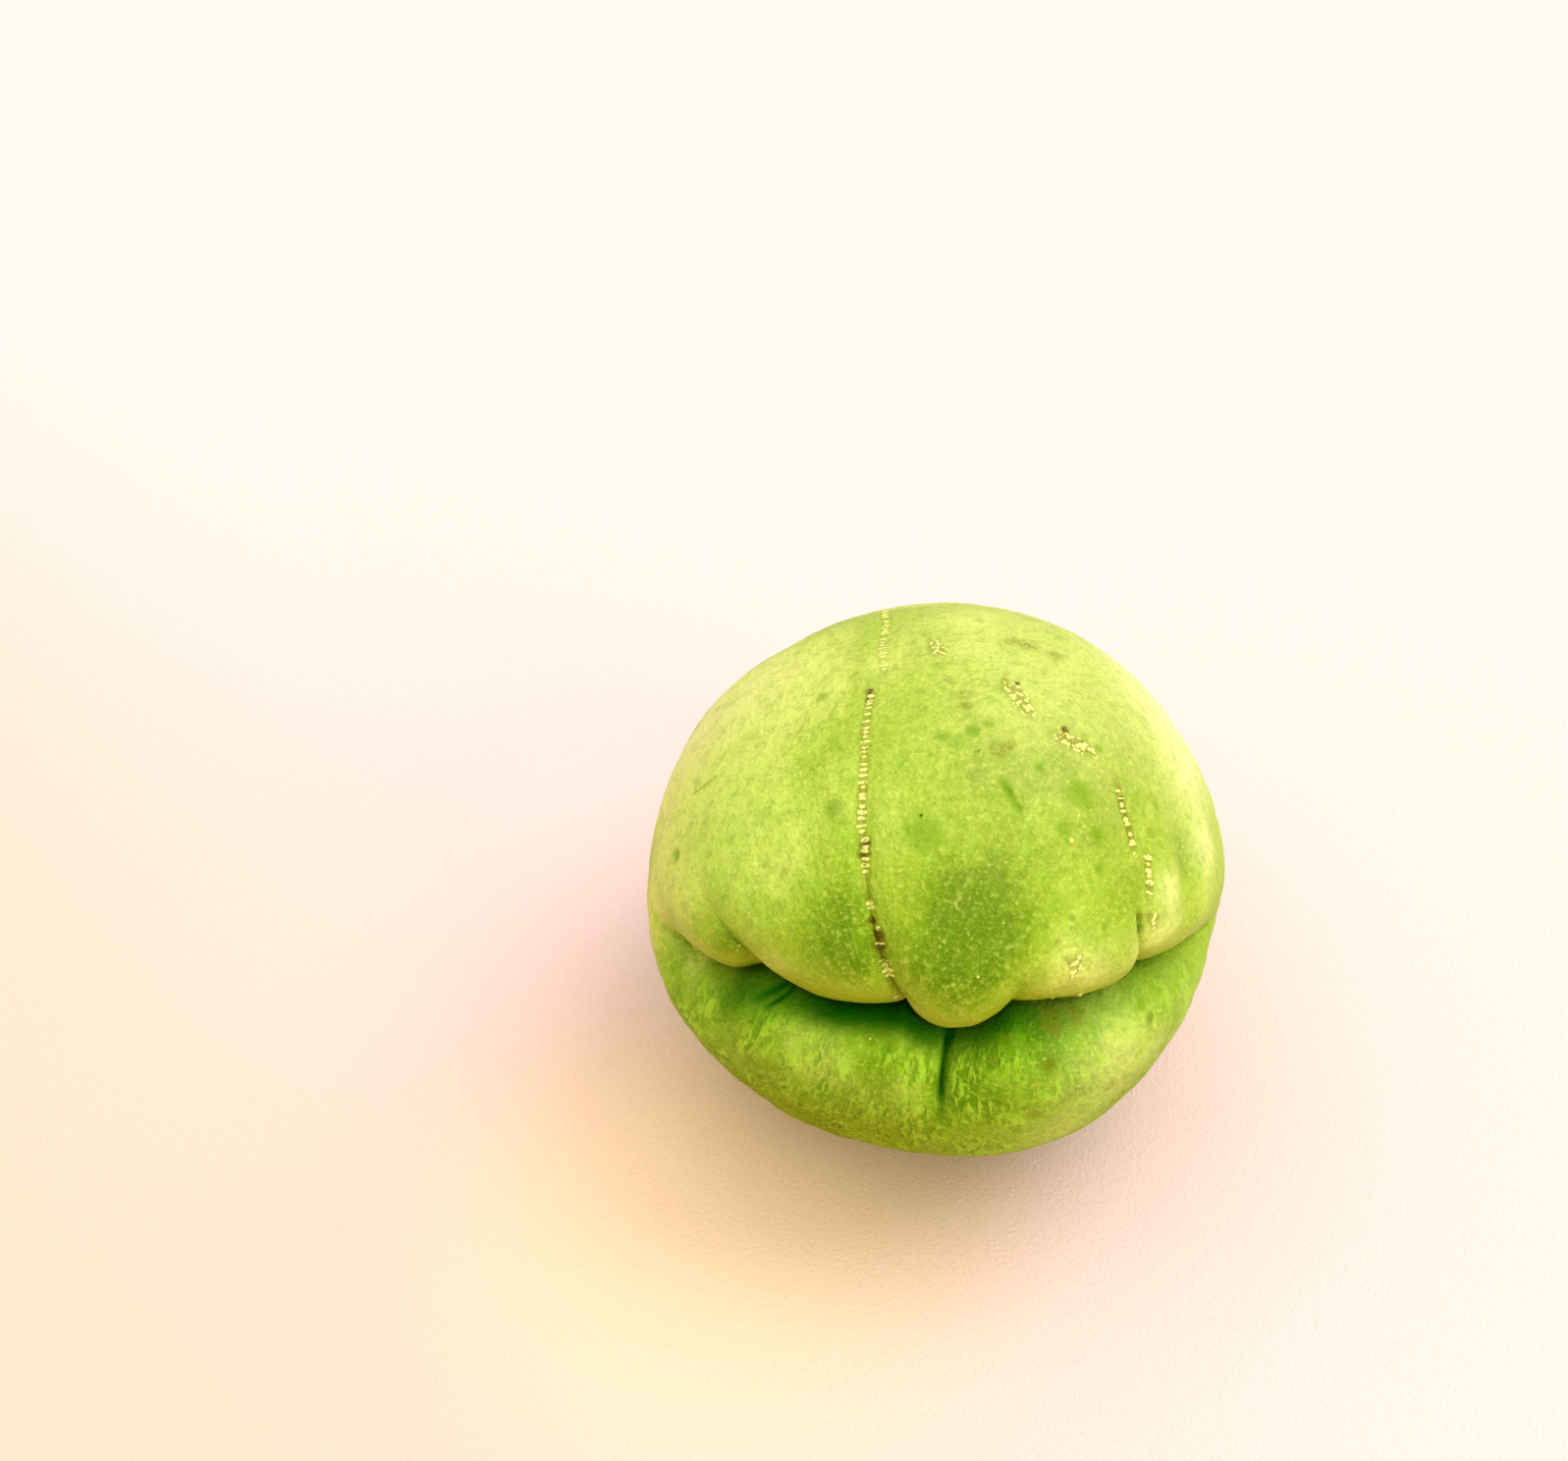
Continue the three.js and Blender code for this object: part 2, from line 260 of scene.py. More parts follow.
def hump(directions, azimuth, elevation, spread):
    """1 in a direction, falling off softly around it."""
    near = np.clip(directions @ direction_at(azimuth, elevation), -1, 1)
    return np.exp(-(np.degrees(np.arccos(near)) / spread) ** 2)


def swelling(directions):
    return sum(top * hump(directions, *place) for *place, top in SWELLINGS)


def lips(distance, reach):
    """Two round lips that meet: 1 on the line, 0 where the lip starts, upright where they touch."""
    t = np.clip(distance / reach, 0, 1)
    return 1 - np.sqrt(1 - (1 - t) ** 2)


def mouth_strength(azimuth):
    return (1 - smoothstep(-azimuth, *MOUTH_END_MINUS_X)) * (1 - smoothstep(azimuth, *MOUTH_END_PLUS_X))


def mouth_fold(azimuth, over_mouth):
    reach = np.where(over_mouth > 0, UPPER_LIP, LOWER_LIP)
    return MOUTH_DEPTH * mouth_strength(azimuth) * lips(np.abs(over_mouth), reach)


def line_on_body(points):
    """A smooth line on the plain body through (azimuth, elevation, value): its places and values."""
    azimuths, elevations, values = np.array(points, float).T
    places = body_points(direction_at(azimuths, elevations))
    ends = np.vstack([2 * places[0] - places[1], places, 2 * places[-1] - places[-2]])
    count = STEPS_PER_POINT * (len(points) - 1)
    along = np.arange(count + 1) / STEPS_PER_POINT
    start = np.minimum(along.astype(int), len(points) - 2)
    t = (along - start)[:, None]
    a, b, c, d = (ends[start + i] for i in range(4))
    slope = c - a
    bend = 2 * a - 5 * b + 4 * c - d
    twist = 3 * b - a - 3 * c + d
    curve = (2 * b + slope * t + bend * t ** 2 + twist * t ** 3) / 2
    return curve, np.interp(along, np.arange(len(points)), values)


def near_line(points, line, reach):
    """For each point: its distance to a line, how far along the line that is, and the line's value there.

    A ball holds the line and all within reach of it. Points outside the ball get an endless distance.
    """
    places, values = line
    distance = np.full(len(points), np.inf)
    along = np.zeros(len(points))
    value = np.zeros(len(points))
    middle = (places.min(0) + places.max(0)) / 2
    radius = np.linalg.norm(places - middle, axis=1).max() + reach
    close = np.flatnonzero(np.linalg.norm(points - middle, axis=1) < radius)
    here = points[close]
    travelled = 0.0
    for i in range(len(places) - 1):
        step = places[i + 1] - places[i]
        size = np.linalg.norm(step)
        t = np.clip((here - places[i]) @ step / size ** 2, 0, 1)
        away = np.linalg.norm(here - places[i] - t[:, None] * step, axis=1)
        better = away < distance[close]
        chosen = close[better]
        distance[chosen] = away[better]
        along[chosen] = travelled + t[better] * size
        value[chosen] = values[i] + t[better] * (values[i + 1] - values[i])
        travelled += size
    return distance, along, value


def fold_depth(body, fold):
    lip, points = fold
    distance, _, depth = near_line(body, line_on_body(points), lip)
    return depth * lips(distance, lip)


def folds_off_mouth(body, upper):
    above = sum(fold_depth(body, fold) for fold in UPPER_FOLDS)
    below = sum(fold_depth(body, fold) for fold in LOWER_FOLDS + LIP_CREASES)
    return np.where(upper, above, below)


def stem_fold(directions, body):
    """Pit and folds of the stem end."""
    from_stem = np.degrees(np.arccos(np.clip(directions[:, 1], -1, 1)))
    depth = STEM_PIT_DEPTH * np.exp(-(from_stem / STEM_PIT_SPREAD) ** 2)
    strength = 1 - smoothstep(from_stem, *STEM_FOLD_ENDS)
    for angle, fold in STEM_FOLDS:
        c, s = math.cos(math.radians(angle)), math.sin(math.radians(angle))
        along = c * body[:, 0] + s * body[:, 2]
        across = c * body[:, 2] - s * body[:, 0]
        depth += np.where(along > 0, fold * strength * lips(np.abs(across), STEM_FOLD_LIP), 0)
    return depth


# ------------------------------------------------------------------ small things on the skin

# Corky patches of the crown and the +X side, and small scars near the mouth: azimuth, elevation, half length,
# half width, and the angle of the length from upright, clockwise as seen from outside.
PATCHES = [
    (-46, 73.6, 1.3, 0.4, 60),
    (-6.2, 72.2, 2.8, 1.4, -30),
    (27.8, 59.1, 3.9, 1.6, -15),
    (39.4, 48.9, 3.7, 1.3, -58),
    (30.6, 13, 2.1, 0.9, 15),
    (47.1, 16.3, 1.5, 0.8, 20),
]
PATCH_GRAIN = 0.66
PATCH_HEIGHT = 0.25
PATCH_STAIN = 0.65

# Warts, and pits where the height is below 0: azimuth, elevation, radius, height.
WARTS = [
    (31.9, 33.8, 0.8, 0.45),
    (34.6, 37.6, 0.5, 0.3),
    (14.0, 13.2, 0.5, 0.4),
    (18, 21.9, 0.35, 0.3),
    (33.2, 5.5, 0.8, 0.6),
    (28.6, 5.2, 0.5, 0.4),
    (-30.3, 6.7, 0.5, 0.3),
    (27.8, -6.6, 1.0, -0.3),
    (-10.2, -30.6, 0.9, -0.3),
    (-50.3, 14.6, 1.5, -0.7),
    (55.6, 34.5, 0.3, 0.2),
    (19.8, 42.4, 1.0, -0.2),
    (-3.3, -4.1, 0.4, 0.3),
    (0.2, -4.9, 1.1, -0.15),
    (19.8, -15.7, 0.35, 0.25),
    (25, -15.9, 0.35, 0.2),
    (30, -19.3, 0.35, 0.2),
    (-0.7, -26, 0.35, 0.25),
    (2.1, -24.9, 0.35, 0.25),
    (-2.3, -25.2, 0.3, 0.2),
    (-14.5, -24, 0.3, 0.2),
]

# Brown stains, dark green bruises, dark scabs and black specks: azimuth, elevation, radius.
STAINS = [
    (-23.2, 58.3, 1.0),
    (-8.4, 31.2, 0.9),
    (-3, 17.0, 1.2),
    (-2, 14.5, 0.8),
    (40, 72.5, 1.5),
    (47, 70.8, 2.1),
    (54, 66.2, 1.7),
    (3.2, 64.5, 0.9),
    (5.5, 63.5, 0.6),
    (9.8, 60.8, 1.2),
    (10.8, 58.6, 1.0),
    (18.6, 50.0, 1.7),
    (21.6, 50.6, 1.1),
    (25, 63.3, 0.7),
    (37.2, 50.9, 0.7),
    (42, 49.3, 0.8),
    (29.3, 14.5, 1.0),
    (46, 17.5, 0.9),
    (27.8, -6.6, 1.2),
    (50.9, 30.6, 0.8),
    (44.3, 15.5, 0.8),
    (44.2, 18, 0.8),
    (29, 0.2, 2.0),
    (34, 0.2, 1.6),
    (48.6, -4, 0.8),
    (41.5, -16, 1.3),
    (25, -15.6, 0.8),
    (-10.4, -31.4, 1.3),
    (27, -17.7, 1.7),
    (27.4, 17.9, 0.6),
    (0.9, -20, 0.9),
]
BRUISES = [
    (12.1, 53.7, 1.2),
    (16.6, 54.8, 0.9),
    (-40.9, 54.6, 1.3),
    (-17.7, 36.9, 1.8),
    (30.7, 35.9, 1.2),
    (37.9, 33.8, 1.4),
    (-50.3, 14.6, 1.4),
    (54.8, 34.1, 0.6),
    (50.4, 34, 0.5),
    (2.5, 36, 3.0),
    (3.9, 52.6, 1.3),
    (27.8, 46.5, 0.8),
    (45, 47.2, 0.9),
    (36.7, 28.3, 1.0),
    (36.2, 41, 2.4),
    (12.7, 49.8, 0.4),
    (32, 31.4, 0.4),
    (-3.3, -4.5, 0.8),
    (0.5, -5.1, 1.0),
    (20.1, -2.3, 0.9),
    (23.3, -1.6, 0.7),
    (21.7, 10.7, 0.9),
    (30.2, 21.5, 0.6),
    (36.2, 18.8, 0.6),
    (27.8, -6.6, 1.0),
    (48.4, -4, 1.1),
    (47.3, -1.5, 0.9),
]
SCABS = [
    (-24.8, 59.2, 0.8),
    (-23.9, 57.8, 0.7),
    (-8.9, 32.8, 1.0),
    (-8.7, 31.1, 1.0),
    (-4.8, 20.4, 0.7),
    (-3.4, 18.2, 1.1),
    (-2.9, 16.5, 1.1),
    (29.2, 62.2, 0.45),
    (38, 51.9, 0.7),
    (46.3, 38, 0.4),
]
SPECKS = [(1.5, 38.8, 0.28), (13.5, 50.0, 0.2)]

# Many small ones: seed, count, then the ranges of azimuth, elevation and radius.
SMALL_WARTS = (3, 60, (-70, 75), (-35, 70), (0.3, 0.6))
SMALL_WART_HEIGHT = 0.14
SMALL_DIMPLES = (8, 45, (-45, 60), (-32, -5), (0.5, 1.3))
SMALL_DIMPLE_DEPTH = 0.12

# Broad tints, darker below 0 and paler above: azimuth, elevation, spread, strength. Some are the skin's own
# tone; many are painted light and shade, such as painted shade under the lips' +X side and painted light on
# the lower lip below the lobes, on the -X rim and on the underside's +X rim.
TINTS_AND_PAINTED_LIGHT = [
    (0, 90, 38, 0.3),
    (55, 66, 16, 0.1),
    (2, 52, 12, -0.4),
    (22, 44, 12, -0.5),
    (45, 53, 12, -0.5),
    (14, 24, 10, -1.4),
    (11, 11, 8, -1.1),
    (-11, 18, 8, -1.2),
    (-12, 30, 5, -0.5),
    (-22, 21, 6, 0.6),
    (-45, 48, 18, 0.8),
    (-62, 38, 14, 0.9),
    (60, 40, 12, -0.4),
    (59.5, 23, 4.5, -1.2),
    (18, 34, 10, -0.3),
    (38, 22, 7, -0.4),
    (-28, 24, 8, 0.3),
    (-1, -7, 5, -0.8),
    (78, 40, 14, 0.8),
    (-66, 22, 13, 1.2),
    (-50, 12, 8, 0.6),
    (30, 10, 8, 1.0),
    (49, 13, 5, 0.5),
    (28, 17, 4, 0.5),
    (11, -24, 5, -1.1),
    (8, 26, 5, -0.3),
    (8, 21, 5, 0.3),
    (36, 34, 6, -0.3),
    (-45, -8, 4.5, 1.2),
    (-25, 5, 3, 1.2),
    (-9, 24, 4, -0.5),
    (-62, 22, 8, 0.4),
    (34, -30, 8, 0.6),
    (43, 3, 3, 0.8),
    (-12, -9, 6, 0.6),
    (-33, -10, 8, -0.3),
    (-16, -9, 6, 0.8),
    (4.5, -14, 3.5, 0.8),
    (-10, -9, 4, 0.5),
    (18, 34, 6, 0.3),
    (-20, 6, 4, 0.7),
    (-31.5, 6.5, 4, -1.6),
    (-58, 2, 6, 0.8),
    (-56, -7, 7, 0.9),
    (72, 36, 9, 0.3),
    (66, 23, 5, 0.6),
    (51.5, 21, 3.5, 0.7),
    (-40, 13, 5, 0.5),
    (3, 2.5, 3, 1.3),
    (-6, 13, 4, -0.7),
    (19, -6, 5, -0.8),
    (35, 45, 28, -0.25),
    (46, 14, 4, 0.3),
    (16, -14, 8, -1.3),
    (16, 17, 9, -0.5),
    (25, -3, 6, -1.2),
    (31, -2, 5, -0.9),
    (38, -7, 8, 0.3),
    (47, -14, 10, 0.8),
    (-8, -27, 10, -0.5),
    (18, -22, 6, -0.5),
    (-45, -24, 14, -0.5),
    (34, -24, 8, 0.6),
]

# Where the skin is palest, as the tints: mostly painted sheen at its rims and on the lit +X side, partly pale
# patches of its own.
SHEEN_AND_PALE_PATCHES = [
    (88, 45, 14, 0.85),
    (20, 82, 14, 0.1),
    (-68, 45, 14, 0.3),
    (72, 34, 9, 0.35),
    (66, 22, 5, 0.4),
    (51.5, 21, 3.5, 0.3),
    (-80, 24, 13, 0.5),
    (34, 12, 6, 0.15),
    (50, 15, 5, 0.15),
    (38, -9, 10, 0.32),
    (38, 55, 18, 0.12),
]


# Yellowed crown, fresh green side, and the +X part of the underside that gets less of its painted shade and
# warm bounce, each with its azimuth, elevation and spread.
YELLOW_CROWN = (50, 66, 32)
FRESH_SIDE = (-38, 24, 18)
UNDERSIDE_LESS_SHADE = (32, -28, 26)
# How far below the mouth the painted shade and warm floor bounce of the underside begin.
UNDERSIDE_STARTS = (8, 22)
# How far over the mouth the olive rim of the upper lip lies.
RIM_HEIGHT = 3
# A nick this deep is all dark.
DARK_NICK_DEPTH = 0.35


def place_on_body(azimuth, elevation):
    return body_points(direction_at(np.array([azimuth]), np.array([elevation])))[0]


def spot(body, azimuth, elevation, radius):
    """1 at a place on the body, falling off softly to a radius round it."""
    distance = np.linalg.norm(body - place_on_body(azimuth, elevation), axis=1)
    return 1 - smoothstep(distance, 0.35 * radius, 1.25 * radius)


def dome(body, azimuth, elevation, radius):
    """A round cap of height 1 at a place on the body."""
    distance = np.linalg.norm(body - place_on_body(azimuth, elevation), axis=1)
    return np.cos(np.clip(distance / radius, 0, 1) * math.pi) / 2 + 0.5


def patch(body, azimuth, elevation, half_length, half_width, turn):
    """1 inside an oval on the body, falling off softly past its edge."""
    middle = place_on_body(azimuth, elevation)
    outward = middle / np.linalg.norm(middle)
    side = np.cross((0, 0, 1), outward)
    side /= np.linalg.norm(side)
    up = np.cross(outward, side)
    angle = math.radians(turn)
    long_way = math.cos(angle) * up + math.sin(angle) * side
    short_way = math.cos(angle) * side - math.sin(angle) * up
    away = body - middle
    reach = np.hypot(away @ long_way / half_length, away @ short_way / half_width)
    deep = np.abs(away @ outward) < 2 * half_length
    return np.where(deep, 1 - smoothstep(reach, 0.5, 1.3), 0)


def scatter(kind):
    """Seeded random places (azimuth, elevation, radius) within a part of the skin."""
    seed, count, azimuths, elevations, radii = kind
    rng = np.random.default_rng(seed)
    return np.column_stack([rng.uniform(*azimuths, count), rng.uniform(*elevations, count),
                            rng.uniform(*radii, count)])


def strongest(body, shape, places):
    """The highest of the shapes at all the places, for each point of the body."""
    highest = np.zeros(len(body))
    for place in places:
        highest = np.maximum(highest, shape(body, *place))
    return highest


def bead_pattern(distance, along, strength, seed):
    """Height of a row of corky beads, 0 to 1, at a distance from its line and a length along it."""
    rng = np.random.default_rng(seed)
    shift = rng.uniform(-BEAD_SHIFT, BEAD_SHIFT, MOST_BEADS)
    wide = rng.uniform(*BEAD_SIZES, MOST_BEADS)
    long = rng.uniform(*BEAD_SIZES, MOST_BEADS)
    gone = rng.uniform(0, 1, MOST_BEADS)
    beads = np.zeros(len(distance))
    nearest = np.floor(along / BEAD_PITCH).astype(int)
    for step in (-1, 0, 1):
        k = np.clip(nearest + step, 0, MOST_BEADS - 1)
        off = along - (k + 0.5 + shift[k]) * BEAD_PITCH
        reach = np.hypot(off / (BEAD_HALF_LENGTH * long[k]), distance / (BEAD_HALF_WIDTH * wide[k]))
        # Weak stretches of a seam have lost more of their beads.
        there = gone[k] < 0.1 + 0.85 * strength
        beads = np.maximum(beads, np.where(there, np.sqrt(np.clip(1 - reach ** 2, 0, 1)), 0))
    return beads * np.clip(strength * 1.5, 0, 1)


def rough(points, size, seed):
    """Smooth noise between about -1 and 1, with features of a size and others of half that size."""
    offset = Vector((seed * 7.3, seed * 3.1, seed * 5.7))
    return np.array([noise.fractal(Vector(p) / size + offset, 1.0, 2.0, 2) for p in points])


def pebbles(points, size):
    """Round grains, 1 at their middles and 0 between them."""
    apart = np.array([noise.voronoi(Vector(p) / size)[0][0] for p in points])
    return np.sqrt(np.clip(1 - (apart / 0.56) ** 2, 0, 1))


# ------------------------------------------------------------------ the skin: shape and marks together

def unevenness(body, upper):
    relief = sum(height * rough(body, size, seed) for height, size, seed in UNEVENNESS)
    lips_height = np.where(upper, UPPER_UNEVENNESS, LOWER_UNEVENNESS)
    return relief + lips_height * rough(body, LIP_UNEVENNESS_SIZE, LIP_UNEVENNESS_SEED)


def soft_groove(body, half_width, points):
    """Depth of a groove with soft sides along a line on the body."""
    distance, _, depth = near_line(body, line_on_body(points), 3 * half_width)
    return depth * np.exp(-(distance / half_width) ** 2)


def corky_seam(body, number):
    """Relief, cork and stain of one seam: a row of beads in a shallow groove."""
    distance, along, strength = near_line(body, line_on_body(SEAMS[number]), SEAM_REACH)
    beads = bead_pattern(distance, along, strength, BEAD_SEED + number)
    beaded = beads > 0
    beads[beaded] *= np.clip(0.95 + 1.1 * rough(body[beaded], 0.4, 5), 0.2, 1.2)
    groove = SEAM_GROOVE * strength * np.exp(-(distance / SEAM_GROOVE_HALF_WIDTH) ** 2)
    stain = SEAM_STAINS[number] * strength * (1 - smoothstep(distance, 0.5, SEAM_HALF_WIDTH))
    return BEAD_HEIGHT * beads - groove, beads, stain


def corky_patch(body, place):
    """Relief, cork and stain of one patch: round grains inside an oval."""
    inside = patch(body, *place)
    chosen = inside > 0
    grains = np.zeros(len(body))
    grains[chosen] = pebbles(body[chosen], PATCH_GRAIN)
    return PATCH_HEIGHT * inside * grains, inside * grains, PATCH_STAIN * inside


def wart(body, azimuth, elevation, radius, height):
    """Relief, cork and stain of one wart, or of a pit, which has no cork."""
    raised = dome(body, azimuth, elevation, radius)
    return height * raised, (0.6 if height > 0 else 0) * raised, np.zeros(len(body))


def corky_marks(body):
    """Relief, cork and stain of the seams, the patches and the warts together."""
    made = [corky_seam(body, number) for number in range(len(SEAMS))]
    made += [corky_patch(body, place) for place in PATCHES]
    made += [wart(body, *place) for place in WARTS]
    relief, cork, stain = zip(*made)
    return sum(relief), np.maximum.reduce(cork), np.maximum.reduce(stain)


def painted_mouth_shade(body, azimuth, over_mouth):
    """Painted shade in the mouth, just under it, and in the creases of the lower lip."""
    upper = over_mouth > 0
    above = 1 - smoothstep(over_mouth, 0, 2)
    below = 1 - smoothstep(-over_mouth / shade_reach_at(azimuth), 0.25, 1)
    dark = np.where(upper, above, below) * mouth_shade_at(azimuth)
    for lip, points in LOWER_FOLDS[:1] + LIP_CREASES:
        # Painted shade lies in a crease over a fifth of its lip.
        distance, _, depth = near_line(body, line_on_body(points), 3)
        crease = np.clip(depth / 1.5, 0, 1) * np.exp(-(distance / (0.2 * lip)) ** 2)
        dark += np.where(upper, 0, crease)
    return np.clip(dark, 0, 1)


def lower_lip(azimuth, over_mouth):
    """1 on the lower lip, less on its +X side, and less again on the flanks beyond the mouth's ends."""
    at_mouth = mouth_strength(azimuth)
    lip = 1 - smoothstep(over_mouth, -4, 0)
    flank = 0.6 * (1 - smoothstep(over_mouth, -28, 8))
    return lip * at_mouth * (1 - 0.45 * smoothstep(azimuth, 20, 42)) + flank * (1 - at_mouth)


def skin(directions):
    """Places of the skin, and what the material reads from it: a dict of one number per point."""
    body = body_points(directions)
    azimuth = azimuth_of(directions)
    over_mouth = body[:, 2] - mouth_height_at(azimuth)
    upper = over_mouth > 0

    dimples = strongest(body, dome, scatter(SMALL_DIMPLES))
    small_warts = sum(dome(body, *place) for place in scatter(SMALL_WARTS))
    troughs = sum(soft_groove(body, *trough) for trough in TROUGHS)
    nicks = [soft_groove(body, *nick) for nick in NICKS]
    corky_relief, cork, halo = corky_marks(body)

    push = swelling(directions) + unevenness(body, upper) + corky_relief
    push -= mouth_fold(azimuth, over_mouth) + folds_off_mouth(body, upper) + stem_fold(directions, body)
    push -= troughs + sum(nicks) + SMALL_DIMPLE_DEPTH * dimples - SMALL_WART_HEIGHT * small_warts

    # Nicks are darker the deeper they are.
    nicked = np.maximum.reduce(nicks) / DARK_NICK_DEPTH
    rim = np.exp(-((over_mouth - RIM_HEIGHT) / RIM_HEIGHT) ** 2)
    underside = smoothstep(-over_mouth, *UNDERSIDE_STARTS)
    marks = {
        "cork": cork,
        "halo": halo,
        "stain": strongest(body, spot, STAINS),
        # Bruises, and skin darker in the nicks and dimples, the more so the deeper they are.
        "bruises_nicks_dimples": np.maximum.reduce([strongest(body, spot, BRUISES), nicked, 0.5 * dimples]),
        "speck": strongest(body, spot, SPECKS),
        "scab": strongest(body, spot, SCABS),
        # Painted shade of the mouth and of the lower lip's creases.
        "fold": painted_mouth_shade(body, azimuth, over_mouth),
        "rim": np.where(upper, rim, 0) * mouth_strength(azimuth),
        "lower": lower_lip(azimuth, over_mouth),
        # Painted shade and warm floor bounce on the underside, less on its +X side.
        "under": underside * (1 - 0.65 * hump(directions, *UNDERSIDE_LESS_SHADE)),
        "yellow": hump(directions, *YELLOW_CROWN),
        "fresh": hump(directions, *FRESH_SIDE),
        # Mostly painted sheen at the rims and on the lit +X side, partly pale patches of the skin.
        "sheen_and_pale_patches": sum(strength * hump(directions, *place) for *place, strength in SHEEN_AND_PALE_PATCHES),
        # The tints: partly the skin's own tone, partly painted light and shade.
        "tone_and_painted_light": sum(strength * hump(directions, *place) for *place, strength in TINTS_AND_PAINTED_LIGHT),
    }
    outward = body / np.linalg.norm(body, axis=1)[:, None]
    return body + outward * push[:, None], marks


# ------------------------------------------------------------------ the mesh

def mouth_elevation(azimuth):
    """Elevation at which the plain body reaches the mouth line, found in a few steps."""
    elevation = np.zeros(len(azimuth))
    for _ in range(4):
        here = body_points(direction_at(azimuth, elevation))[:, 2]
        ahead = body_points(direction_at(azimuth, elevation + 1))[:, 2]
        elevation += (mouth_height_at(azimuth) - here) / (ahead - here)
    return elevation * mouth_strength(azimuth)


def cube_grid():
    """Directions and triangles of a closed grid over a cube, with its rows crowded at the mouth."""
    columns = np.linspace(-1, 1, COLUMNS + 1)
    rows = np.linspace(-1, 1, ROWS + 1)
    one_side, upright = np.meshgrid(columns, rows, indexing="ij")
    across, along = np.meshgrid(columns, columns, indexing="ij")
    side = np.ones_like(one_side)
    cap = np.ones_like(across)
    sheets = [
        (one_side, -side, upright),
        (side, one_side, upright),
        (-one_side, side, upright),
        (-side, -one_side, upright),
        (across, along, cap),
        (across, -along, -cap),
    ]
    points, triangles, start = [], [], 0
    for sheet in sheets:
        shape = sheet[0].shape
        corner = np.arange(shape[0] * shape[1]).reshape(shape) + start
        a, b, c, d = corner[:-1, :-1], corner[1:, :-1], corner[1:, 1:], corner[:-1, 1:]
        triangles += [np.stack([a, b, c], -1).reshape(-1, 3), np.stack([a, c, d], -1).reshape(-1, 3)]
        points.append(np.stack(sheet, -1).reshape(-1, 3))
        start += shape[0] * shape[1]
    points = np.concatenate(points)
    triangles = np.concatenate(triangles)
    _, first, same = np.unique(np.round(points * 1e6).astype(int), axis=0, return_index=True,
                               return_inverse=True)
    points = points[first]
    height = points[:, 2]
    points[:, 2] = (1 - ROW_CROWDING) * height + ROW_CROWDING * height ** 3
    points = np.tan(points * math.pi / 4)
    return points / np.linalg.norm(points, axis=1)[:, None], same.reshape(-1)[triangles]


def bend_rows(directions):
    """Turn the rows so that the middle one lies along the mouth."""
    azimuth = azimuth_of(directions)
    elevation = np.degrees(np.arcsin(directions[:, 2]))
    bend = 1 - smoothstep(np.abs(elevation), 0, ROW_REACH)
    return direction_at(azimuth, elevation + mouth_elevation(azimuth) * bend)


def split(directions, triangles, chosen):
    """Split each chosen triangle in four, and its neighbours to match."""
    sides = np.stack([triangles, np.roll(triangles, -1, axis=1)], -1)
    sides.sort(axis=-1)
    code = sides[..., 0] * len(directions) + sides[..., 1]
    cut_codes = np.unique(code[chosen])
    ends = np.stack([cut_codes // len(directions), cut_codes % len(directions)], 1)
    middles = directions[ends[:, 0]] + directions[ends[:, 1]]
    middles /= np.linalg.norm(middles, axis=1)[:, None]
    found = np.minimum(np.searchsorted(cut_codes, code), len(cut_codes) - 1)
    is_cut = cut_codes[found] == code
    middle = found + len(directions)
    cuts = is_cut.sum(1)
    pieces = [triangles[cuts == 0]]

    for first in range(3):
        order = [first, (first + 1) % 3, (first + 2) % 3]
        a, b, c = triangles[:, order].T
        ab, bc, ca = middle[:, order].T
        cut_ab, _, cut_ca = is_cut[:, order].T
        one = (cuts == 1) & cut_ab
        pieces += [np.stack(corners, 1)[one] for corners in ((a, ab, c), (ab, b, c))]
        two = (cuts == 2) & ~cut_ca
        pieces += [np.stack(corners, 1)[two] for corners in ((ab, b, bc), (a, ab, bc), (a, bc, c))]
        if first == 0:
            all_cut = cuts == 3
            corners_of_four = ((a, ab, ca), (ab, b, bc), (ca, bc, c), (ab, bc, ca))
            pieces += [np.stack(corners, 1)[all_cut] for corners in corners_of_four]
    return np.concatenate([directions, middles]), np.concatenate(pieces)


def detail_wanted(directions):
    """How many times the mesh is split at each point."""
    body = body_points(directions)
    azimuth = azimuth_of(directions)
    over_mouth = body[:, 2] - mouth_height_at(azimuth)
    low, high = FINE_OVER_MOUTH
    wanted = np.where((over_mouth > low) & (over_mouth < high) & (mouth_strength(azimuth) > 0.02), 1, 0)

    sharp_folds = UPPER_FOLDS[:2] + UPPER_FOLDS[3:] + LOWER_FOLDS[:1] + LIP_CREASES
    lines = [(points, FINE_AT_FOLD, 1) for _, points in sharp_folds]
    lines += [(points, FINE_AT_SEAM, 3) for points in SEAMS]
    lines += [(points, 2 * half_width, 2) for half_width, points in NICKS]
    for points, reach, level in lines:
        distance = near_line(body, line_on_body(points), FINE_REACH)[0]
        wanted = np.maximum(wanted, np.where(distance < reach, level, 0))

    for place in PATCHES:
        wanted = np.maximum(wanted, np.where(patch(body, *place) > 0, 3, 0))

    spots = [place[:3] for place in WARTS] + STAINS + BRUISES + SCABS + SPECKS
    for *place, radius in spots:
        distance = np.linalg.norm(body - place_on_body(*place), axis=1)
        level = 2 if radius < 1 else 1
        wanted = np.maximum(wanted, np.where(distance < 1.3 * radius + 0.2, level, 0))
    return wanted


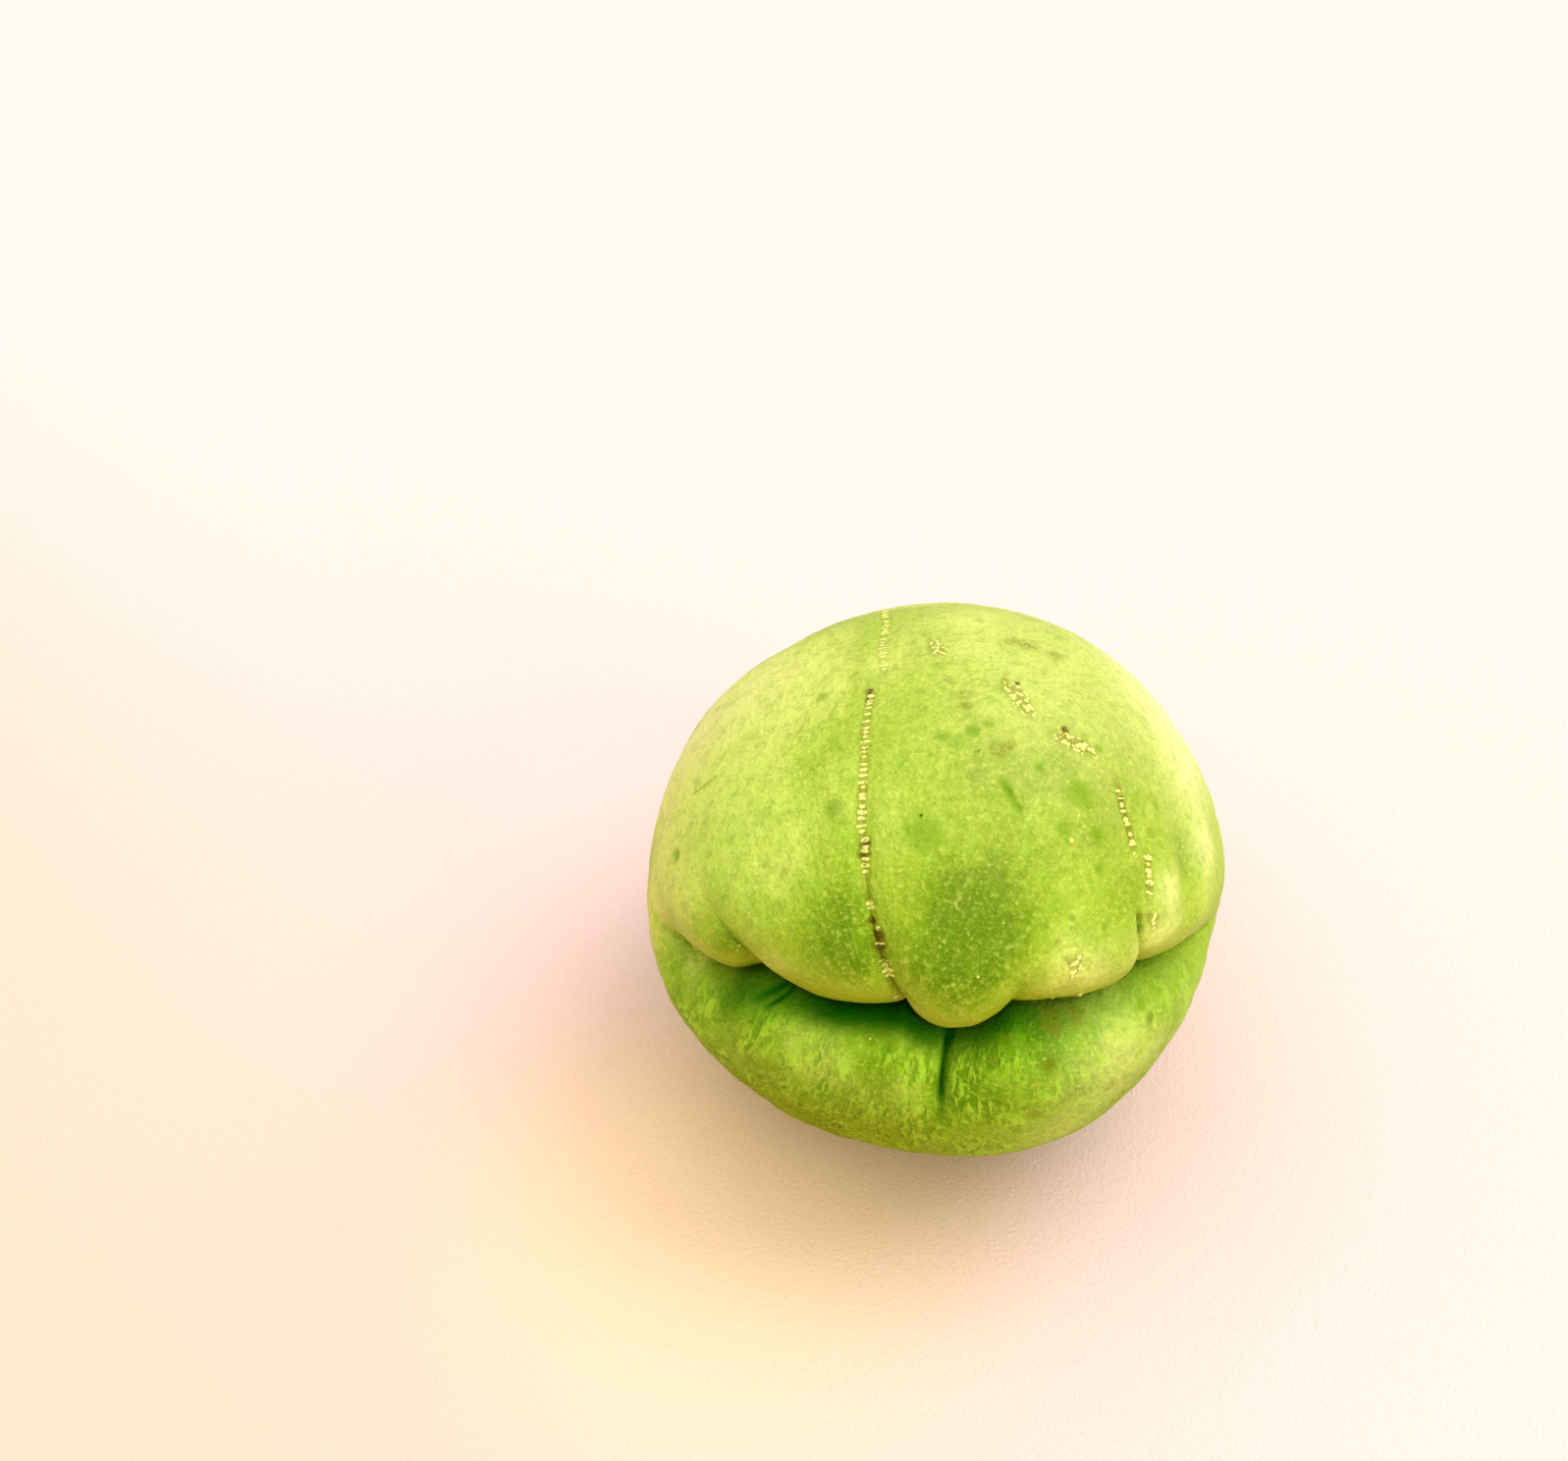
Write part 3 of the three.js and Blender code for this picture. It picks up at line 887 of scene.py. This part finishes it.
def lay_down(points):
    """Tilt the blossom end up, press the underside flat, and stand the fruit on the origin."""
    a = math.radians(BLOSSOM_TILT)
    x, y, z = points.T
    y, z = y * math.cos(a) + z * math.sin(a), z * math.cos(a) - y * math.sin(a)
    z = np.maximum(z - z.min() - REST_FLAT, 0)
    low, high = (np.array(corner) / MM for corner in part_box(NODE))
    x += (low[0] + high[0]) / 2 - (x.min() + x.max()) / 2
    y += (low[1] + high[1]) / 2 - (y.min() + y.max()) / 2
    return np.stack([x, y, z], 1)


def streak_places(directions):
    """Where each point lies for the long fine streaks: round the fruit, and from the blossom end back."""
    round_way = directions[:, (0, 2)] / np.hypot(directions[:, 0], directions[:, 2])[:, None].clip(0.02)
    back_way = np.arccos(np.clip(-directions[:, 1], -1, 1))
    return np.column_stack([STREAK_RADIUS * round_way, STREAK_RADIUS * back_way])


def make_fruit():
    directions, triangles = cube_grid()
    directions = bend_rows(directions)
    for level in (1, 2, 3):
        wanted = detail_wanted(directions)
        directions, triangles = split(directions, triangles, (wanted[triangles] >= level).any(1))
    points, marks = skin(directions)
    mesh = bpy.data.meshes.new("chayote_skin")
    mesh.from_pydata(lay_down(points) * MM, [], triangles)
    mesh.polygons.foreach_set("use_smooth", np.ones(len(triangles), bool))
    for name, values in marks.items():
        mesh.attributes.new(name, "FLOAT", "POINT").data.foreach_set("value", values.astype(np.float32))
    streaks = mesh.attributes.new("streak", "FLOAT_VECTOR", "POINT")
    streaks.data.foreach_set("vector", streak_places(directions).astype(np.float32).ravel())
    mesh.update()
    print("skin:", len(directions), "points,", len(triangles), "triangles")
    piece = bpy.data.objects.new("chayote_skin", mesh)
    bpy.context.collection.objects.link(piece)
    return piece


# ------------------------------------------------------------------ materials

def new_material(name):
    material = bpy.data.materials.new(name)
    material.use_nodes = True
    nodes = material.node_tree.nodes
    return material, nodes["Principled BSDF"]


class Graph:
    """Adds nodes to a material and links them; each call gives the new node's output."""

    def __init__(self, material):
        self.tree = material.node_tree

    def node(self, kind, output=0, inputs=None, **settings):
        made = self.tree.nodes.new(kind)
        for key, value in settings.items():
            setattr(made, key, value)
        for key, value in (inputs or {}).items():
            self.feed(made.inputs[key], value)
        return made.outputs[output]

    def feed(self, socket, value):
        if isinstance(value, bpy.types.NodeSocket):
            self.tree.links.new(value, socket)
        else:
            socket.default_value = value

    def place(self):
        """Place on the object in millimetres."""
        return self.stretched(self.node("ShaderNodeTexCoord", "Object"), (1 / MM, 1 / MM, 1 / MM))

    def stretched(self, where, stretch):
        return self.node("ShaderNodeVectorMath", operation="MULTIPLY", inputs={0: where, 1: stretch})

    def fan(self, where, middle, stretch):
        """Place in a pattern that fans out below a middle: how far sideways for its depth, then y and z."""
        off = self.node("ShaderNodeVectorMath", operation="SUBTRACT", inputs={0: where, 1: middle})
        x, y, z = (self.node("ShaderNodeSeparateXYZ", axis, inputs={0: off}) for axis in range(3))
        sideways = self.node("ShaderNodeMath", operation="DIVIDE", inputs={0: x, 1: z})
        parts = [self.times(value, size) for value, size in zip((sideways, y, z), stretch)]
        return self.node("ShaderNodeCombineXYZ", inputs=dict(enumerate(parts)))

    def mark(self, name):
        """A mark of the skin, as the mesh carries it."""
        return self.node("ShaderNodeAttribute", "Fac", attribute_name=name)

    def noise(self, where, size, detail, roughness, distortion=0.0):
        return self.node("ShaderNodeTexNoise", "Fac",
                         inputs={"Vector": where, "Scale": 1 / size, "Detail": detail,
                                 "Roughness": roughness, "Distortion": distortion})

    def cells(self, where, size):
        """Distance from the middles of random cells."""
        return self.node("ShaderNodeTexVoronoi", "Distance", inputs={"Vector": where, "Scale": 1 / size})

    def sum(self, *values):
        total = values[0]
        for value in values[1:]:
            total = self.node("ShaderNodeMath", operation="ADD", inputs={0: total, 1: value})
        return total

    def times(self, a, b):
        return self.node("ShaderNodeMath", operation="MULTIPLY", inputs={0: a, 1: b})

    def remap(self, value, low, high, to_low=0.0, to_high=1.0):
        return self.node("ShaderNodeMapRange", interpolation_type="SMOOTHSTEP",
                         inputs={"Value": value, "From Min": low, "From Max": high,
                                 "To Min": to_low, "To Max": to_high})

    def mix(self, factor, a, b):
        made = self.tree.nodes.new("ShaderNodeMix")
        made.data_type = "RGBA"
        self.feed(made.inputs["Factor"], factor)
        colours = [socket for socket in made.inputs if socket.type == "RGBA"]
        for socket, colour in zip(colours, (a, b)):
            self.feed(socket, colour if isinstance(colour, bpy.types.NodeSocket) else (*colour, 1))
        return next(socket for socket in made.outputs if socket.type == "RGBA")

    def bump(self, height, depth, strength):
        return self.node("ShaderNodeBump", inputs={"Strength": strength, "Distance": depth, "Height": height})


# Colours of the skin, as linear red, green and blue.
GREEN = (0.35, 0.52, 0.025)
DEEP_GREEN = (0.17, 0.33, 0.002)
DARK_GREEN = (0.125, 0.24, 0.001)
LOWER_GREEN = (0.12, 0.31, 0.001)
LIP_GREEN = (0.41, 0.70, 0.05)
DARK_OLIVE = (0.16, 0.19, 0.003)
YELLOW_GREEN = (0.68, 0.80, 0.15)
YELLOW = (0.86, 0.84, 0.30)
PALE_SPECK = (0.73, 0.82, 0.18)
# Painted sheen, and the skin's palest patches.
PALE_SHEEN = (0.88, 0.89, 0.44)
# Painted shade of the mouth and of the lower lip's creases.
FOLD_SHADE_GREEN = (0.014, 0.135, 0.001)
FRESH_GREEN = (0.44, 0.72, 0.10)
OLIVE = (0.33, 0.38, 0.007)
CORK = (0.76, 0.77, 0.26)
CORK_EDGE = (0.22, 0.21, 0.012)
BROWN = (0.21, 0.20, 0.012)
SCAB = (0.13, 0.105, 0.008)
BLACK = (0.02, 0.03, 0.005)

# Cloudy patterns of the skin: size, octaves of detail, roughness.
PATTERNS = {
    "broad": (18, 2, 0.55),
    "clouds": (6.5, 3, 0.6),
    "wrinkled parts": (5.0, 2, 0.5),
    "blotches": (4.5, 3, 0.6),
    "mottle": (1.7, 2, 0.6),
    "ragged": (1.6, 4, 0.7),
    "grain": (0.75, 2, 0.6),
    "fine": (0.38, 2, 0.7),
}
# Long streaks from the blossom end back: sizes across, and how much of their length counts.
STREAK_SIZE = 1.1
WIDE_STREAK_SIZE = 3.5
STREAK_STRETCH = (1, 1, 0.35)
# Wrinkles of the lower lip: the point above that they fan out from, how slim they are, and then their size,
# octaves, roughness and distortion.
WRINKLE_MIDDLE = (5, 0, 110)
WRINKLE_STRETCH = (60, 0.3, 0.3)
WRINKLE_NOISE = (0.7, 3, 0.5, 0.8)
DOT_PITCH = 2.3
PEBBLE_PITCH = 1.0
# Depth of the finest relief, and how far light goes into the skin, in metres.
SKIN_BUMP = 0.0005
SKIN_DEPTH = 0.0015


def skin_material():
    material, surface = new_material("skin")
    g = Graph(material)
    where = g.place()
    pattern = {name: g.noise(where, *settings) for name, settings in PATTERNS.items()}
    grain, mottle, fine = pattern["grain"], pattern["mottle"], pattern["fine"]
    lower, under, fold = g.mark("lower"), g.mark("under"), g.mark("fold")

    streak_place = g.node("ShaderNodeAttribute", "Vector", attribute_name="streak")
    streak_place = g.stretched(streak_place, STREAK_STRETCH)
    streaks = g.noise(streak_place, STREAK_SIZE, 2, 0.5)
    wide_streaks = g.noise(streak_place, WIDE_STREAK_SIZE, 2, 0.5)
    wrinkles = g.noise(g.fan(where, WRINKLE_MIDDLE, WRINKLE_STRETCH), *WRINKLE_NOISE)
    wrinkled = g.times(lower, g.remap(pattern["wrinkled parts"], 0.38, 0.62, 0.15, 1))
    pebbled = g.times(under, g.remap(g.cells(where, PEBBLE_PITCH), 0.25, 0.6))
    cork = g.remap(g.sum(g.mark("cork"), g.times(grain, 0.3)), 0.35, 0.75)
    # How pale the green is, from the tints with their painted light and shade and from broad patterns: 0 is
    # GREEN, 1 is the palest, and -1.6 is the darkest.
    paler = g.sum(g.times(g.mark("tone_and_painted_light"), g.remap(pattern["ragged"], 0.36, 0.62, 0.8, 1.2)),
                  g.remap(pattern["broad"], 0.36, 0.64, -0.3, 0.3),
                  g.remap(wide_streaks, 0.35, 0.65, -0.1, 0.1))

    # Colours laid over one another, the first lowest: where, how strongly, and the colour.
    layers = [
        # Paler and darker green from the tints: partly the skin's own tone, partly painted light and shade.
        (g.remap(paler, 0, 1), 1, YELLOW_GREEN),
        (g.remap(paler, 0.1, -1.6), 1, DARK_GREEN),
        (g.mark("yellow"), 0.35, YELLOW),
        # Mostly painted sheen, partly pale patches of the skin.
        (g.mark("sheen_and_pale_patches"), 1, PALE_SHEEN),
        (g.mark("fresh"), 0.5, FRESH_GREEN),
        (lower, 0.5, LOWER_GREEN),
        # Painted shade and warm floor bounce on the underside.
        (under, 0.65, OLIVE),
        (g.remap(pattern["blotches"], 0.48, 0.70), 0.25, DEEP_GREEN),
        (g.remap(mottle, 0.50, 0.70), 0.30, DEEP_GREEN),
        (g.remap(grain, 0.52, 0.72), 0.30, PALE_SPECK),
        (g.remap(grain, 0.48, 0.30), 0.20, DEEP_GREEN),
        (g.remap(g.cells(where, DOT_PITCH), 0.16, 0.08), g.remap(lower, 0, 1, 0.35, 0.15), PALE_SPECK),
        (g.times(g.remap(pattern["clouds"], 0.40, 0.66), lower), 0.40, LIP_GREEN),
        (g.remap(streaks, 0.50, 0.70), 0.08, PALE_SPECK),
        (g.remap(wrinkles, 0.50, 0.60), g.times(wrinkled, 0.75), LIP_GREEN),
        (g.remap(wrinkles, 0.50, 0.38), g.times(wrinkled, 0.55), LOWER_GREEN),
        (g.remap(fine, 0.52, 0.70), 0.18, PALE_SPECK),
        (g.remap(fine, 0.48, 0.30), 0.22, DARK_GREEN),
        (pebbled, 0.5, DARK_OLIVE),
        (g.mark("rim"), 0.55, OLIVE),
        # Painted shade in the mouth, under the upper lip and in the lower lip's creases.
        (fold, 1, FOLD_SHADE_GREEN),
        # Bruises, and skin darker in the nicks and dimples by their depth.
        (g.mark("bruises_nicks_dimples"), 0.6, DEEP_GREEN),
        (g.times(g.mark("stain"), g.remap(grain, 0.30, 0.60)), 0.65, BROWN),
        (g.times(g.mark("halo"), g.remap(grain, 0.30, 0.55)), 0.9, CORK_EDGE),
        (g.times(g.mark("scab"), g.remap(grain, 0.30, 0.50)), 1, SCAB),
        (cork, 1, CORK),
        (g.mark("speck"), 1, BLACK),
    ]
    colour = GREEN
    for mask, strength, layer_colour in layers:
        colour = g.mix(g.times(mask, strength), colour, layer_colour)
    g.feed(surface.inputs["Base Color"], colour)

    dullness = g.sum(g.times(grain, 0.4), g.times(cork, 0.4), g.times(fold, 0.4))
    g.feed(surface.inputs["Roughness"], g.remap(dullness, 0, 0.8, 0.42, 0.80))
    gloss = g.remap(paler, -1, 0.8, 0.05, 0.45)
    for less in (g.remap(fold, 0, 0.6, 1, 0.1), g.remap(lower, 0, 1, 1, 0.3), g.remap(under, 0, 0.8, 1, 0.1)):
        gloss = g.times(gloss, less)
    g.feed(surface.inputs["Specular IOR Level"], gloss)
    surface.inputs["Subsurface Weight"].default_value = 0.1
    surface.inputs["Subsurface Radius"].default_value = (1.0, 1.0, 0.4)
    surface.inputs["Subsurface Scale"].default_value = SKIN_DEPTH
    height = g.sum(g.times(grain, 0.5), g.times(mottle, 0.7), g.times(streaks, 0.3),
                   g.times(wrinkles, g.times(wrinkled, 1.3)), g.times(pebbled, -0.8))
    g.feed(surface.inputs["Normal"], g.bump(height, SKIN_BUMP, 1.0))
    return material


# Colours of the floor: its own, a painted warm light, a painted warm shadow, and its fibres.
FLOOR = (0.88, 0.67, 0.65)
# Painted warm light, stronger towards -X and -Y.
FLOOR_WARM_LIGHT = (0.92, 0.58, 0.47)
# Painted warm shadow round the fruit's foot.
FLOOR_SHADOW_TAN = (1.0, 0.75, 0.53)
FIBRE = (0.78, 0.60, 0.52)
# Its fibres: size in millimetres, octaves, roughness. Then its own roughness, and its relief in metres.
FIBRE_NOISE = (0.7, 3, 0.7)
FLOOR_ROUGHNESS = 0.9
FLOOR_BUMP = 0.0004
# The way in which the floor turns from its own colour to the painted warm light, and from where to where, in
# millimetres.
WARM_LIGHT_WAY = (-0.6, -0.8, 0)
WARM_LIGHT_ENDS = (0, 150)
# Where the painted warm shadow round the fruit's foot is strongest, and how far it reaches, in millimetres.
SHADOW_TAN_MIDDLE = (-25, -48, 0)
SHADOW_TAN_REACH = 60


def floor_material():
    material, surface = new_material("floor")
    g = Graph(material)
    where = g.place()
    along = g.node("ShaderNodeVectorMath", "Value", operation="DOT_PRODUCT", inputs={0: where, 1: WARM_LIGHT_WAY})
    off = g.node("ShaderNodeVectorMath", operation="SUBTRACT", inputs={0: where, 1: SHADOW_TAN_MIDDLE})
    away = g.node("ShaderNodeVectorMath", "Value", operation="LENGTH", inputs={0: off})
    fibre = g.noise(where, *FIBRE_NOISE)
    # Painted warm light, stronger towards -X and -Y.
    colour = g.mix(g.remap(along, *WARM_LIGHT_ENDS), FLOOR, FLOOR_WARM_LIGHT)
    # Painted warm shadow round the fruit's foot.
    colour = g.mix(g.remap(away, 0.25 * SHADOW_TAN_REACH, SHADOW_TAN_REACH, 1, 0), colour, FLOOR_SHADOW_TAN)
    colour = g.mix(g.remap(fibre, 0.45, 0.75, 0, 0.3), colour, FIBRE)
    g.feed(surface.inputs["Base Color"], colour)
    g.feed(surface.inputs["Normal"], g.bump(fibre, FLOOR_BUMP, 0.5))
    surface.inputs["Roughness"].default_value = FLOOR_ROUGHNESS
    return material


# ------------------------------------------------------------------ the stage, in metres

FLOOR_HALF_SIZE = 3


def make_floor():
    size = FLOOR_HALF_SIZE
    mesh = bpy.data.meshes.new("floor")
    corners = [(-size, -size, 0), (size, -size, 0), (size, size, 0), (-size, size, 0)]
    mesh.from_pydata(corners, [], [(0, 1, 2, 3)])
    mesh.materials.append(floor_material())
    floor = bpy.data.objects.new("floor", mesh)
    bpy.context.collection.objects.link(floor)


def aim(thing, place, target):
    thing.location = place
    thing.rotation_euler = (Vector(target) - Vector(place)).to_track_quat("-Z", "Y").to_euler()
    bpy.context.collection.objects.link(thing)


# Where the camera stands, seen from the middle of the fruit, and how far to the left of that middle and above
# it the camera aims. The lens and the sensor are in millimetres.
CAMERA_AZIMUTH = 5
CAMERA_ELEVATION = 39
CAMERA_DISTANCE = 0.2807
AIM_LEFT = 0.0265
AIM_ABOVE = 0.0126
LENS = 40
SENSOR = 36


def make_camera(middle):
    back = Vector(direction_at(CAMERA_AZIMUTH, CAMERA_ELEVATION))
    right = Vector((-back.y, back.x, 0)).normalized()
    up = back.cross(right)
    camera = bpy.data.cameras.new("camera")
    camera.lens = LENS
    camera.sensor_width = SENSOR
    camera.clip_start = 0.01
    thing = bpy.data.objects.new("camera", camera)
    aim(thing, middle + back * CAMERA_DISTANCE, middle - right * AIM_LEFT + up * AIM_ABOVE)
    bpy.context.scene.camera = thing


# Soft lamps, far off: name, azimuth and elevation seen from the fruit, width in degrees, strength, colour.
LAMPS = [
    ("key", 115, 54, 45, 1.02, (0.95, 0.98, 1)),
    ("sky", -30, 80, 95, 1.45, (0.95, 0.98, 1)),
    ("side", 60, 20, 37, 0.8, (1, 0.95, 0.88)),
]
WORLD_COLOUR = (1, 0.85, 0.70)
WORLD_STRENGTH = 0.51


def make_lamps(middle):
    for name, azimuth, elevation, width, strength, colour in LAMPS:
        lamp = bpy.data.lights.new(name, "SUN")
        lamp.angle = math.radians(width)
        lamp.energy = strength
        lamp.color = colour
        away = Vector(direction_at(azimuth, elevation))
        aim(bpy.data.objects.new(name, lamp), middle + away, middle)
    world = bpy.data.worlds.new("world")
    world.use_nodes = True
    background = world.node_tree.nodes["Background"]
    background.inputs["Color"].default_value = (*WORLD_COLOUR, 1)
    background.inputs["Strength"].default_value = WORLD_STRENGTH
    bpy.context.scene.world = world


# ------------------------------------------------------------------ the scene

fruit = make_fruit()
fruit.data.materials.append(skin_material())
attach(fruit, "root")
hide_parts(NODE)

low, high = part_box(NODE)
fruit_middle = (low + high) / 2
make_floor()
make_camera(fruit_middle)
make_lamps(fruit_middle)
bpy.context.scene.view_settings.view_transform = "Standard"
bpy.context.scene.view_settings.look = "Medium High Contrast"
bpy.context.scene.cycles.use_denoising = True
